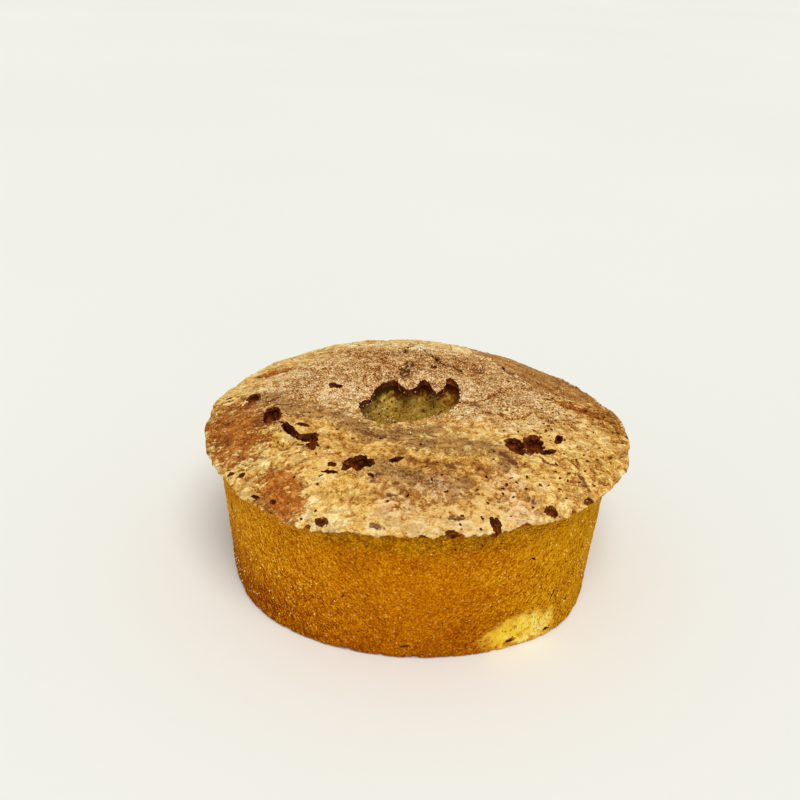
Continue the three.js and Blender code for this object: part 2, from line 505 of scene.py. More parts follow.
def make_piece(name, geometry, sizes):
    """Run the tree on an empty object and keep what it makes as the object's plain mesh."""
    piece = bpy.data.objects.new(name, bpy.data.meshes.new(name))
    bpy.context.scene.collection.objects.link(piece)
    maker = piece.modifiers.new("maker", "NODES")
    maker.node_group = end_tree(geometry)
    for item in maker.node_group.interface.items_tree:
        if item.in_out == "INPUT":
            maker[item.identifier] = sizes[item.name]
    graph = bpy.context.evaluated_depsgraph_get()
    mesh = bpy.data.meshes.new_from_object(piece.evaluated_get(graph), depsgraph=graph)
    piece.modifiers.remove(maker)
    piece.data = mesh
    mesh.name = name
    return piece


def grid_place(ground):
    """Angle round the cake and share of a stretch, by place on a grid of unit size."""
    across, along, _ = apart(ground.node("GeometryNodeInputPosition"))
    return (across + 0.5) * FULL_TURN, along + 0.5


def stretch(point, angle, share, sectors, rows):
    """One stretch of the outline carried round the cake."""
    grid = angle.node("GeometryNodeMeshGrid", None,
                      {"Size X": 1, "Size Y": 1, "Vertices X": sectors + 1, "Vertices Y": rows + 1})
    return grid.node("GeometryNodeSetPosition", None,
                     {"Geometry": grid, "Position": together(*point(angle, share))})


def join(parts):
    return parts[0].node("GeometryNodeJoinGeometry", None, {"Geometry": parts})


def weld(stretches):
    """Parts joined where their edges meet."""
    joined = join(stretches)
    return joined.node("GeometryNodeMergeByDistance", None, {"Geometry": joined, "Distance": WELD_GAP})


LUMP_SCALE = 1.3
SPIKE_SCALE = 1.6
RIDGE_HALF_WIDTH = 0.1


def stone_tree():
    """A ragged stone, whose skin stands in and out by seeded noise. It is marked as torn."""
    ground, given = new_tree("stone", {
        "seed": 0.0,
        "detail": 1,
        "lumps": 1.0,
        "spikes": 1.0,
        "middle": Vector(),
        "turn": Euler(),
        "reach": Vector(),
    })
    ball = ground.node("GeometryNodeMeshIcoSphere", None, {"Radius": 1, "Subdivisions": given["detail"]})
    place = ground.node("GeometryNodeInputPosition")
    seeded = {"Vector": place, "W": given["seed"]}
    lumps = ground.node("ShaderNodeTexNoise", {"noise_dimensions": "4D"}, {**seeded, "Scale": LUMP_SCALE})
    spikes = ground.node("ShaderNodeTexNoise", {"noise_dimensions": "4D"}, {**seeded, "Scale": SPIKE_SCALE})
    ridges = RIDGE_HALF_WIDTH - abs(spikes - 0.5)
    reach = 1 + given["lumps"] * (lumps - 0.5) + given["spikes"] * ridges
    rough = ground.node("GeometryNodeSetPosition", None, {"Geometry": ball, "Position": place * reach})
    laid = ground.node("GeometryNodeTransform", None, {
        "Geometry": rough,
        "Translation": given["middle"],
        "Rotation": given["turn"],
        "Scale": given["reach"],
    })
    return end_tree(mark(laid, "torn", 1.0))


STONE = stone_tree()


def sunk_stone(ground, seed, middle, facing, heading, reach):
    """A stone laid square to a surface, so that what it takes away is a crag."""
    turned = facing @ Matrix.Rotation(heading * DEGREE, 3, "Z")
    return ground.node("GeometryNodeGroup", {"node_tree": STONE}, {
        "seed": seed,
        "detail": CRAG_DETAIL,
        "lumps": CRAG_LUMPS,
        "spikes": CRAG_SPIKES,
        "middle": middle,
        "turn": turned.to_euler(),
        "reach": reach,
    })


def crag_cutters(ground, spread):
    """Stones sunk in the crust, one for each crag."""
    outline = CakeOutline(CAKE_SIZES)
    cutters = []
    for seed, (angle, inset, length, width, depth, heading) in enumerate(CRAGS):
        turn = angle * DEGREE
        share = inset * MM / outline.width(turn)
        middle = Vector(outline.crust_line(turn, share))
        step_in = Vector(outline.crust_line(turn, share + SLOPE_STEP)) - middle
        step_round = Vector(outline.crust_line(turn + SLOPE_STEP, share)) - middle
        normal = step_round.cross(step_in).normalized()
        facing = Vector((0, 0, 1)).rotation_difference(normal).to_matrix()
        sunk = middle - normal * (CRAG_SINK * depth * MM)
        reach = Vector((length / 2 * spread, width / 2 * spread, depth * (1 - CRAG_SINK))) * MM
        cutters.append(sunk_stone(ground, seed, sunk, facing, heading, reach))
    return cutters


def slit_cutters(ground):
    """Stones sunk in the wall, one for each slit."""
    outline = CakeOutline(CAKE_SIZES)
    cutters = []
    rows = enumerate(WALL_SLITS, FIRST_SLIT_SEED)
    for seed, (angle, height, length, width, depth, heading) in rows:
        turn = angle * DEGREE
        middle = Vector(outline.wall(turn, height * MM / CAKE_SIZES["wall height"]))
        outward = Vector((math.cos(turn), math.sin(turn), 0))
        sideways = Vector((-math.sin(turn), math.cos(turn), 0))
        facing = Matrix((sideways, outward.cross(sideways), outward)).transposed()
        reach = Vector((length / 2, width / 2, depth)) * MM
        cutters.append(sunk_stone(ground, seed, middle, facing, heading, reach))
    return cutters


# How lumpy and spiky the small strewn stones are
STONE_LUMPS = 1.2
STONE_SPIKES = 1.6


def random_draw(ground, kind, low, high, seed):
    """A value of each point's own between low and high."""
    return ground.node("FunctionNodeRandomValue", {"data_type": kind},
                       {"Min": low, "Max": high, "Seed": seed})


def strewn(surface, chosen, spacing, small, large, tilt, detail, seed, spin=(0, FULL_TURN)):
    """Stones strewn over the chosen part of a surface, each with a size and turn of its own."""
    points = surface.node("GeometryNodeDistributePointsOnFaces", {"distribute_method": "POISSON"}, {
        "Mesh": surface,
        "Distance Min": spacing,
        "Density Max": 1 / (spacing * spacing),
        "Density Factor": chosen,
        "Seed": seed,
    })
    shape = surface.node("GeometryNodeGroup", {"node_tree": STONE}, {
        "seed": seed,
        "detail": detail,
        "lumps": STONE_LUMPS,
        "spikes": STONE_SPIKES,
        "reach": (1, 1, 1),
    })
    reach = random_draw(surface, "FLOAT_VECTOR", small, large, seed)
    lean = random_draw(surface, "FLOAT_VECTOR", (-tilt, -tilt, 0), (tilt, tilt, 0), seed + 1)
    heading = random_draw(surface, "FLOAT", spin[0], spin[1], seed + 2)
    headed = surface.node("FunctionNodeEulerToRotation", None, {"Euler": together(0, 0, heading)})
    upright = surface.node("FunctionNodeAlignRotationToVector", {"axis": "Z"},
                           {"Rotation": headed, "Vector": points.out("Normal")})
    leaning = surface.node("FunctionNodeEulerToRotation", None, {"Euler": lean})
    turned = surface.node("FunctionNodeRotateRotation", {"rotation_space": "LOCAL"},
                          {"Rotation": upright, "Rotate By": leaning})
    laid = surface.node("GeometryNodeInstanceOnPoints", None,
                        {"Points": points, "Instance": shape, "Rotation": turned, "Scale": reach})
    return surface.node("GeometryNodeRealizeInstances", None, {"Geometry": laid})


def cut(body, cutters):
    return body.node("GeometryNodeMeshBoolean", {"operation": "DIFFERENCE", "solver": "MANIFOLD"},
                     {"Mesh 1": body, "Mesh 2": cutters})


def spot_of(ground):
    """Every point's place, in millimetres."""
    return ground.node("GeometryNodeInputPosition") * TO_MM


def upwardness(ground):
    """How far the surface faces up, from -1 to 1."""
    return apart(ground.node("GeometryNodeInputNormal"))[2]


def shifted(geometry, offset):
    return geometry.node("GeometryNodeSetPosition", None, {"Geometry": geometry, "Offset": offset})


def keep_place(geometry):
    """Keep every point's place before the fine relief, for the material's patterns."""
    spot = spot_of(geometry)
    return mark(geometry, "rest", spot, "FLOAT_VECTOR"), spot


def finish_mesh(geometry, material):
    """Smooth faces with hard edges where the surface breaks, realized, in one material."""
    smoothed = geometry.node("GeometryNodeSetShadeSmooth", {"domain": "FACE"},
                             {"Geometry": geometry, "Shade Smooth": True})
    bend = geometry.node("GeometryNodeInputMeshEdgeAngle")
    broken = geometry.node("FunctionNodeCompare", {"operation": "GREATER_THAN"},
                           {"A": bend, "B": BREAK_ANGLE})
    creased = geometry.node("GeometryNodeSetShadeSmooth", {"domain": "EDGE"},
                            {"Geometry": smoothed, "Selection": broken, "Shade Smooth": False})
    real = geometry.node("GeometryNodeRealizeInstances", None, {"Geometry": creased})
    return geometry.node("GeometryNodeSetMaterial", None, {"Geometry": real, "Material": material})


def chip_patch(spot):
    """1 where the brown skin came away at the foot of the wall, 0 elsewhere."""
    out = (math.cos(CHIP["angle"]), math.sin(CHIP["angle"]))
    x, y, z = apart(spot)
    facing = smooth(x * out[0] + y * out[1], 70, 80)
    sideways = (y * out[0] - x * out[1]) / (CHIP["width"] / 2)
    upward = (z - CHIP["height"]) / (CHIP["tall"] / 2)
    ragged = noise(spot, 5, detail=5, roughness=0.68, seed=3) - 0.5
    return facing * smooth(1 - sideways * sideways - upward * upward + 1.9 * ragged, -0.5, 1)


def fibres(spot, lean):
    """Noise from 0 to 1 in fine strands that run up the wall and lean to one side."""
    x, y, z = apart(spot)
    twist = z * (lean * FIBRE_TWIST)
    even, odd = cosine(twist), sine(twist)
    turned = together(x * even - y * odd, x * odd + y * even, z * FIBRE_STRETCH)
    return noise(turned, 1.3, detail=3, roughness=0.6, seed=5 + lean, swirl=0.4)


def strands(spot):
    """Strands of the batter, drawn up to the left on one side of the cake, to the right on the other."""
    return blend(fibres(spot, 1), fibres(spot, -1), smooth(apart(spot)[0], -30, 30)) - 0.5


def srgb(red, green, blue):
    """Linear colour of display values from 0 to 255."""
    shares = [value / 255 for value in (red, green, blue)]
    return (*[s / 12.92 if s <= 0.04045 else ((s + 0.055) / 1.055) ** 2.4 for s in shares], 1)


def mix(a, b, share):
    """Colour between a and b at this share."""
    return share.node("ShaderNodeMix", {"data_type": "RGBA"}, {"Factor": share, "A": a, "B": b}, "Result")


def shades(tone, *stops):
    """Colour by tone, through stops that each give a tone and its colour."""
    colour = stops[0][1]
    for (low, _), (high, lighter) in zip(stops, stops[1:]):
        colour = mix(colour, lighter, smooth(tone, low, high))
    return colour


def new_material(name, specular):
    """A material with one shader, and a wire to its tree."""
    material = bpy.data.materials.new(name)
    material.use_nodes = True
    shader = material.node_tree.nodes["Principled BSDF"]
    shader.inputs["Specular IOR Level"].default_value = specular
    return material, shader, Wire(material.node_tree)


def dress(shader, colour, roughness, height, bump_depth):
    """Colour, roughness and fine relief of a surface."""
    relief = colour.node("ShaderNodeBump", None, {"Strength": 1, "Distance": bump_depth, "Height": height})
    for name, wire in (("Base Color", colour), ("Roughness", roughness), ("Normal", relief)):
        colour.tree.links.new(wire.socket, shader.inputs[name])


def attribute(ground, name, out="Fac"):
    """A value that mark kept, in a material's tree."""
    return ground.node("ShaderNodeAttribute", {"attribute_name": name}, None, out)


crumb_sizes = {
    **CAKE_SIZES,
    "grain": 0.9 * MM,
    "lumps": 1.2 * MM,
    "strands": 0.9 * MM,
    "chip depth": 1.2 * MM,
    "foot bites": 1.8 * MM,
    "pit spacing": 5 * MM,
}

AMBER = srgb(197, 115, 2)
GOLD = srgb(225, 150, 6)
GOLD_LIGHT = srgb(246, 192, 56)
HOLE_DARK = srgb(104, 68, 26)
CRUMB_TORN_DARK = srgb(72, 24, 8)


def hole_distance(x, y):
    """Distance in plan from the middle of the hole, in millimetres."""
    return far(x - LIP_CENTRE[0] * TO_MM, y - LIP_CENTRE[1] * TO_MM)


def browned_wall(spot, fine, grain, blotch, cloud, strand):
    """Amber and gold where batter met tin, deeper near the foot; wrinkles and painted shade under the rim.
    """
    amber_deep = srgb(118, 52, 0)
    amber_dark = srgb(162, 84, 0)
    brown = srgb(126, 54, 0)
    olive = srgb(150, 100, 6)
    ochre = srgb(213, 156, 6)
    x, _, z = apart(spot)
    lowness = smooth(z, 50, 4)
    sides = smooth(abs(x), 20, 75)
    shade = cloud * 0.2 - 0.075 * lowness + 0.075 * smooth(x, -20, -90) * (1 - lowness)
    shade = shade - 0.04 * smooth(x, -40, -75) * smooth(z, 34, 12)
    tone = fine * (0.65 + 0.25 * sides) + strand * (0.35 + 0.55 * sides)
    tone = tone + grain * 0.4 + blotch * 0.12 + shade
    wall = shades(tone, (-0.24, amber_deep), (-0.1, amber_dark), (0.02, AMBER), (0.13, GOLD),
                  (0.27, GOLD_LIGHT))
    wall = mix(wall, ochre, smooth(x + cloud * 80, 20, 100) * smooth(tone, -0.2, 0) * 0.7)
    wall = mix(wall, GOLD_LIGHT, smooth(strand + fine * 0.5, 0.06, 0.24) * (0.15 + 0.15 * sides))
    wall = mix(wall, brown, smooth(blotch * 0.5 + shade, -0.06, -0.26) * 0.2)
    # Painted shade: a darker olive band under the crust's edge, over crumb that is wrinkled there.
    under_rim = smooth(z + cloud * 16 + blotch * 12, 66, 74) * smooth(x + cloud * 40, -64, -40)
    under_rim = under_rim * smooth(x + cloud * 40, 90, 40)
    wrinkles = fine * 0.5 + grain * 0.6 + blotch * 0.5
    shaded_wrinkles = shades(wrinkles, (-0.14, brown), (-0.02, olive), (0.14, GOLD))
    return mix(wall, shaded_wrinkles, under_rim * 0.8)


def chipped_foot(spot, fine, grain, blotch):
    """Yellow inside of the cake, bared at the chip, browner to the left and along the table."""
    yellow = srgb(252, 222, 72)
    pale = srgb(246, 230, 122)
    x, _, z = apart(spot)
    bared = mix(yellow, pale, smooth(blotch * 2 + x * 0.02, 1.06, 1.4))
    bared = mix(bared, GOLD, smooth(fine * 1.4 + grain + blotch, 0, -0.22) * 0.75)
    bared = mix(bared, GOLD, smooth(x + blotch * 50, 58, 44) * 0.4)
    bared = mix(bared, AMBER, smooth(grain + fine * 0.6, -0.05, -0.15) * smooth(x, 56, 66) * 0.8)
    return mix(bared, AMBER, smooth(z + blotch * 24 + grain * 14, 5, 2) * 0.75)


def hole_wall(spot, fine, grain):
    """Yellow and olive streaks where the batter met the tin's tube."""
    yellow = srgb(255, 238, 124)
    olive = srgb(222, 168, 58)
    streaks = noise(spot * (1.0, 1.0, 2.2), 5, detail=4, roughness=0.7, seed=9) - 0.5
    tone = streaks * 0.9 + fine * 0.8 + grain * 0.6
    return shades(tone, (-0.26, HOLE_DARK), (-0.04, olive), (0.2, yellow))


def flecked(colour, spot, fine, blotch, chip, inside):
    """Pale, golden and dark flecks all over, and larger dark ones inside the hole."""
    speck = srgb(252, 234, 180)
    black = srgb(50, 32, 12)
    x, _, _ = apart(spot)
    distance, draw = cells(spot, 1.5, seed=9)
    fleck = smooth(distance, 0.6, 0.3)
    colour = mix(colour, speck, fleck * smooth(draw, 0.06, 0.03) * 0.4)
    golden = fleck * smooth(draw, 0.38, 0.34) * (0.3 + 0.4 * smooth(x + blotch * 60, 20, 70))
    colour = mix(colour, GOLD_LIGHT, golden * (1 - inside))
    dark = fleck * smooth(draw, 0.84, 0.88) * (0.24 + 0.7 * smooth(chip, 0, 0.4))
    colour = mix(colour, CRUMB_TORN_DARK, dark)
    hole_fleck_distance, hole_draw = cells(spot, 2.4, seed=4)
    hole_fleck = smooth(hole_fleck_distance + fine * 0.8, 0.95, 0.6) * smooth(hole_draw, 0.68, 0.72)
    return mix(colour, black, inside * hole_fleck * 0.9)


def crumb_material():
    """Looks of the crumb, by place in millimetres and by patterns that run from about -0.5 to 0.5."""
    hole_shade = srgb(98, 76, 28)
    torn_red = srgb(154, 76, 24)
    material, shader, ground = new_material("baked crumb", specular=0.02)
    spot = attribute(ground, "rest", "Vector")
    x, y, z = apart(spot)
    fine = noise(spot, 0.9, detail=2, roughness=0.6, seed=7) - 0.5
    grain = noise(spot, 1.9, detail=3, roughness=0.65, seed=17) - 0.5
    blotch = noise(spot, 6, detail=4, roughness=0.65, seed=6) - 0.5
    cloud = noise(spot, 26, detail=3, roughness=0.55, seed=8) - 0.5
    strand = strands(spot)
    chip = chip_patch(spot)
    inside = smooth(hole_distance(x, y), 60, 54)
    colour = browned_wall(spot, fine, grain, blotch, cloud, strand)
    colour = mix(colour, GOLD_LIGHT, smooth(chip, 0, 0.6) * 0.8)
    colour = mix(colour, chipped_foot(spot, fine, grain, blotch), smooth(chip, 0.25, 0.95) * 0.94)
    colour = mix(colour, hole_wall(spot, fine, grain), inside)
    colour = flecked(colour, spot, fine, blotch, chip, inside)
    # Painted shade: darker towards the left inside the hole.
    colour = mix(colour, HOLE_DARK, inside * smooth(x + blotch * 20, -22, -34) * 0.4)
    # Below the lip the hole wall takes the torn crumb's dark red-brown: partly torn crumb, partly painted
    # shade under the overhanging lip.
    under_lip = inside * smooth(z + (fine * 0.5 + grain + blotch * 1.6) * 26, 82, 90)
    in_crag = smooth(far(x, y), 98, 94) * smooth(z, 50, 60) * (1 - inside)
    torn = most(most(smooth(attribute(ground, "torn"), 0.02, 0.3), in_crag), under_lip)
    raw = shades(fine * 0.15 + grain * 0.25 + blotch, (-0.16, CRUMB_TORN_DARK), (0.18, torn_red))
    raw = mix(raw, hole_shade, inside * smooth(x + blotch * 20, -10, -18) * 0.85)
    height = (fine * 0.6 + grain * 0.6 + strand * 0.7 + blotch * 0.3) * (1 - 0.7 * torn)
    dress(shader, mix(colour, raw, torn), 0.88 - 0.6 * strand, height, bump_depth=0.5 * MM)
    return material


ground, size = new_tree("crumb", crumb_sizes)
outline = CakeOutline(size)
angle, share = grid_place(ground)
hole_share = share ** HOLE_ROW_EASE
body = weld([
    mark(stretch(outline.wall, angle, share, CRUMB_SECTORS, CRUMB_ROWS["wall"]), "torn", 0.0),
    mark(stretch(outline.flare, angle, share, CRUMB_SECTORS, CRUMB_ROWS["flare"]), "torn", 0.0),
    mark(stretch(outline.crumb_top, angle, share, CRUMB_SECTORS, CRUMB_ROWS["top"]), "torn", TOP_TORN),
    mark(stretch(outline.hole, angle, hole_share, CRUMB_SECTORS, CRUMB_ROWS["hole"]), "torn", 0.0),
    stretch(outline.base, angle, share, CRUMB_SECTORS, CRUMB_ROWS["base"]),
])

# Pits in the upright faces, the crags and the slits
upright = smooth(abs(upwardness(ground)), 0.35, 0.2)
height = apart(ground.node("GeometryNodeInputPosition"))[2]
pitted = upright * smooth(height, 6 * MM, 9 * MM) * smooth(height, 82 * MM, 78 * MM) * WALL_PIT_SHARE
pits = strewn(body, pitted, size["pit spacing"], WALL_PIT_SMALL, WALL_PIT_LARGE,
              tilt=0.3, detail=2, seed=11)
body = cut(body, [*crag_cutters(ground, CRUMB_CRAG_SPREAD), *slit_cutters(ground), pits])

# Fine relief, with the chip and the bitten foot, and calmer where the crumb is torn
body, spot = keep_place(body)
relief = size["grain"] * (noise(spot, 2.4, detail=2, roughness=0.6, seed=7) - 0.5)
relief = relief + size["lumps"] * (noise(spot, 11, detail=3, roughness=0.5, seed=2) - 0.5)
relief = relief + size["strands"] * strands(spot)
chip_floor = 0.6 + 0.8 * noise(spot, 2.5, detail=3, roughness=0.6, seed=12)
relief = relief - size["chip depth"] * chip_patch(spot) * chip_floor
bites = noise(spot, 6, detail=3, roughness=0.6, seed=4)
bitten = smooth(bites, 0.5, 0.72) * smooth(apart(spot)[2], 5, 0)
relief = relief - size["foot bites"] * bitten
relief = relief * (1 - 0.75 * marked(ground, "torn"))
level = ground.node("GeometryNodeInputNormal") * (1.0, 1.0, 0.0)
body = shifted(body, level * relief)
crumb = make_piece("cake_crumb", finish_mesh(body, crumb_material()), crumb_sizes)
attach(crumb, "root")
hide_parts("cake")

# Crust
# The thin baked skin of the cake's top, two to three millimetres of dried batter with sugar in it.
# It rose with the dome, spread over the tin's edge, wrinkled, flaked and tore open over gas pockets.

CRUST_SECTORS = 720
CRUST_ROWS = {"top": 104, "under": 4}
CRUST_ROW_EASE = 1.25

# Outline of the lip, which tore when the tin's tube was drawn out, seen from above, in millimetres
LIP_OUTLINE = [
    (-34.4, -5), (-34, -11.5), (-31, -21), (-25, -28.2), (-19, -29.5), (-13.4, -27), (-4, -22.4),
    (4.4, -17.4), (13, -11.2), (20.8, -5.8), (23.2, 2), (25, 11), (25.2, 18), (24.2, 28), (21.8, 34),
    (19.5, 35.5), (17.2, 34), (16.9, 28), (15.2, 24.5), (13.2, 21), (11.2, 18.5), (9.4, 22), (7.4, 28.5),
    (5.6, 31.8), (3.4, 32.8), (1.2, 31.4), (-0.2, 27.5), (-2.4, 23.4), (-7, 21.8), (-9.6, 23.6), (-12, 27),
    (-12.2, 30), (-14.4, 30.4), (-16.8, 29), (-21, 26.5), (-25.3, 19.5), (-27.8, 9), (-28.9, 2.5), (-32, 0),
]
LIP_CUT_LEVELS = (84 * MM, 106 * MM)
LIP_STEP = 0.6 * MM
LIP_TEAR = 3.2 * MM
LIP_TEAR_SCALE = 0.36
LIP_TEAR_DETAIL = 4

# Patches where the skin flaked off: angle in degrees, inset, length, width and sink in millimetres,
# heading in degrees and how bare they are
WORN_PATCHES = [
    (196, 19, 84, 52, 0.9, 100, 1.1),
    (231, 11, 44, 29, 0.7, -68, 1.4),
    (5, 23, 46, 17, 0.8, -18, 1.3),
    (151, 19, 28, 16, 0.6, 15, 1.7),
    (225, 40, 30, 22, 0.3, 20, 0.3),
]
STREAK_HEADING = 14 * DEGREE

# Lines on the skin, each a curve from its first point to its last, drawn towards the second, in
# millimetres
CRACKS = [
    ((-8.5, 74), (-8, 88), (-3.4, 92)),
    ((-3.4, 92), (2, 91), (5, 75)),
    ((5, 75), (10, 71), (14, 60.5)),
    ((14, 60.5), (18, 54), (26.5, 49.4)),
    ((26, 6), (36, -4), (53.5, 25)),
    ((85, 12), (104, 14), (120, -2)),
    ((55, 72), (58, 34), (88, 24)),
    ((-100, 46), (-91, 52), (-82, 47)),
    ((58, -54), (66, -56), (72, -62)),
    ((-49, 108), (-40, 97), (-30, 94)),
]
FOLDS = [
    ((-88, 5), (-76, -20), (-51, -22)),
    ((-51, -22), (-38, -26), (-30, -42)),
    ((-24, -42), (-8, -41), (8, -34)),
    ((-2, -50), (20, -50), (34, -52)),
    ((34, -52), (42, -54), (46, -64)),
    ((-24, -74), (0, -84), (18, -86)),
]
BROWNED = [
    ((-10, 66), (4, 60), (26, 54)),
    ((0, -62), (24, -66), (40, -62)),
    ((-60, -66), (-52, -62), (-44, -60)),
    ((100, 34), (116, 8), (118, -18)),
]
PLAIN = [
    ((52, 112), (66, 88), (79, 60)),
    ((79, 60), (83, 48), (94, 43)),
]
DENTS = [
    ((-15, -93), (-13, -92), (-11, -94)),
    ((16, -107), (18, -107), (20, -108)),
    ((57, -90), (59, -89), (60, -91)),
    ((-23, -113), (-20, -112), (-18, -114)),
    ((85, -64), (87, -68), (89, -72)),
    ((-11, 37), (-9, 45), (-7, 53)),
    ((-8, 36), (-6, 45), (-3, 56)),
    ((-24, -83), (-23, -81), (-22, -79)),
    ((27, 4), (31, 1), (36, -2)),
    ((38, -12), (43, -13), (48, -15)),
    ((-28, -43), (-24, -45), (-19, -46)),
    ((15, -69), (17, -68), (18, -67)),
    ((44, -58), (47, -60), (50, -64)),
]
# Where the skin's sheen lies, less rough and painted with a pale pink highlight
SHEEN = [
    ((-10, -98), (-1, -96), (8, -90)),
    ((44, -77), (48, -88), (52, -98)),
]
LINE_STEPS = 12
LINE_STRAY = 8.0
LINE_STRAY_SCALE = 0.3
LINE_STRAY_DETAIL = 3

RIM_BAND = 8
CRUST_PIT_SMALL = (0.7 * MM, 0.5 * MM, 1 * MM)
CRUST_PIT_LARGE = (1.4 * MM, 0.9 * MM, 1.6 * MM)

crust_sizes = {
    **CAKE_SIZES,
    "skin": 0.55 * MM,
    "plates": 0.5 * MM,
    "plain sink": 0.8 * MM,
    "grain": 0.9 * MM,
    "lumps": 2.3 * MM,
    "crack depth": 1 * MM,
    "fold height": 0.6 * MM,
    "dent depth": 0.6 * MM,
    "crag lift": 0.7 * MM,
    "rim wear": 4 * MM,
    "rim notches": 3 * MM,
    "rim frays": 6 * MM,
    "pit spacing": 3.3 * MM,
}


def worn_patches(spot):
    """How worn the skin is by place, and how deep the worn patch lies in millimetres."""
    x, y, _ = apart(spot)
    outline = CakeOutline(CAKE_SIZES)
    share, sink = -1, 0
    for angle, inset, length, width, depth, heading, bareness in WORN_PATCHES:
        turn = angle * DEGREE
        middle = outline.crust_line(turn, inset * MM / outline.width(turn))
        right, up = math.cos(heading * DEGREE), math.sin(heading * DEGREE)
        dx, dy = x - middle[0] * TO_MM, y - middle[1] * TO_MM
        along = (dx * right + dy * up) / (length / 2)
        across = (dy * right - dx * up) / (width / 2)
        inside = 1 - along * along - across * across
        share = most(share, inside * bareness)
        sink = most(sink, most(inside, 0) * depth)
    return share, sink


def bare_skin(spot, worn):
    """1 where the pale skin flaked off, 0 where it stays, in ragged streaks towards the middle."""
    x, y, z = apart(spot)
    right, up = math.cos(STREAK_HEADING), math.sin(STREAK_HEADING)
    streaked = together((x * right + y * up) * 0.45, y * right - x * up, z)
    ragged = noise(streaked, 3.4, detail=5, roughness=0.72, seed=1, swirl=0.8) - 0.5
    return smooth(worn * 0.6 - 0.22 + ragged * 3.2, 0, 0.14)


def stray(spot, scale, detail, reach):
    """A shift in plan that wanders from place to place."""
    wander = spot.node("ShaderNodeTexNoise", None,
                       {"Vector": spot, "Scale": scale, "Detail": detail}, "Color")
    return (wander - 0.5) * (reach, reach, 0.0)


def in_steps(curve):
    """The curve in short even steps."""
    return curve.node("GeometryNodeResampleCurve", {"mode": "LENGTH"}, {"Curve": curve, "Length": LIP_STEP})


def lip_cutter(ground):
    """A ragged upright prism on the lip's outline. It is marked as torn."""
    sides = []
    for start, end in zip(LIP_OUTLINE, [*LIP_OUTLINE[1:], LIP_OUTLINE[0]]):
        ends = {"Start": (start[0] * MM, start[1] * MM, 0), "End": (end[0] * MM, end[1] * MM, 0)}
        side = ground.node("GeometryNodeCurvePrimitiveLine", None, ends)
        sides.append(ground.node("GeometryNodeCurveToMesh", None, {"Curve": side}))
    loop = ground.node("GeometryNodeMeshToCurve", None, {"Mesh": weld(sides)})
    tear = stray(spot_of(ground), LIP_TEAR_SCALE, LIP_TEAR_DETAIL, LIP_TEAR)
    low, high = LIP_CUT_LEVELS
    upright = ground.node("GeometryNodeCurvePrimitiveLine", None,
                          {"Start": (0, 0, low), "End": (0, 0, high)})
    prism = ground.node("GeometryNodeCurveToMesh", None, {
        "Curve": in_steps(upright),
        "Profile Curve": shifted(in_steps(loop), tear),
        "Fill Caps": True,
    })
    return mark(prism, "torn", 1.0)


def skin_lumps(spot):
    return noise(spot, 5, detail=4, roughness=0.62, seed=4, swirl=0.6)


def skin_grain(spot):
    return noise(spot, 1.7, detail=3, roughness=0.65, seed=3, swirl=0.5)


def skin_plates(spot):
    """1 on the plates of thin skin that lie side by side, 0 in the gaps between them."""
    x, y, z = apart(spot)
    plates = noise(together(x * 0.6, y, z), 6, detail=5, roughness=0.68, seed=8, swirl=0.8)
    return smooth(plates, 0.41, 0.47)


def plain_zone(spot, distance):
    """1 where the pale top layer is missing at the back, 0 elsewhere, with a ragged edge."""
    ragged = (skin_lumps(spot) - 0.5) * 24 + (skin_grain(spot) - 0.5) * 8
    return smooth(distance + ragged, 20.8, 19.2)


def line_distance(ground, table, spot):
    """Distance in millimetres, in plan, from a place to the nearest of the bent lines."""
    lines = []
    for start, middle, end in table:
        bow = ground.node("GeometryNodeCurveQuadraticBezier", None, {
            "Resolution": LINE_STEPS,
            "Start": (*start, 0),
            "Middle": (*middle, 0),
            "End": (*end, 0),
        })
        lines.append(ground.node("GeometryNodeCurveToMesh", None, {"Curve": bow}))
    return ground.node("GeometryNodeProximity", {"target_element": "EDGES"},
                       {"Target": join(lines), "Source Position": spot}, "Distance")


CRUST_CREAM = srgb(244, 208, 128)
CRUST_BROWN = srgb(168, 108, 44)
CRUST_DARK = srgb(104, 56, 20)
DEEP_RUST_AND_EDGE_SHADOW = srgb(92, 38, 12)


def skin_shade(ground, spot, cloud, grainy):
    """Stretches of the skin that baked darker or stayed lighter."""
    x, y, _ = apart(spot)
    brownness = smooth(attribute(ground, "browned") + cloud * 30, 22, 6)
    whitest = smooth(far(x + 50, y) + cloud * 30, 36, 6)
    darker = 0.03 + 0.04 * smooth(y, 30, 50) + 0.055 * smooth(x, 80, 100)
    shade = cloud * 0.3 - brownness * darker - grainy * 0.03 + whitest * 0.03
    shade = shade - 0.055 * smooth(y + cloud * 30, -50, -75) * smooth(abs(x), 40, 25)
    shade = shade + 0.045 * smooth(x, -30, -50) * smooth(y, -40, -60)
    shade = shade + 0.08 * smooth(y + cloud * 20, 70, 96) + 0.11 * smooth(y + cloud * 30, -94, -114)
    return shade + 0.04 * smooth(x + cloud * 20, -70, -90) * smooth(y, 0, 14)


def pale_skin(tone, grainy, plates):
    """Dried skin in plates, and dusty, sandy skin round the hole."""
    pale = srgb(255, 238, 180)
    honey = srgb(222, 168, 80)
    dusty_pale = srgb(255, 240, 202)
    dusty_cream = srgb(232, 190, 122)
    dusty_brown = srgb(178, 114, 48)
    dusty_dark = srgb(108, 60, 22)
    warm = shades(tone, (-0.24, CRUST_DARK), (-0.12, CRUST_BROWN), (-0.02, honey), (0.09, CRUST_CREAM),
                  (0.2, pale))
    # Browner in the gaps between plates, partly the layer below and partly painted shade; a line of painted
    # shade along each plate's edge.
    warm = mix(warm, CRUST_BROWN, (1 - plates) * 0.4)
    warm = mix(warm, CRUST_DARK, plates * (1 - plates))
    dusty = shades(tone, (-0.24, dusty_dark), (-0.08, dusty_brown), (0.06, dusty_cream), (0.2, dusty_pale))
    return mix(warm, dusty, grainy)


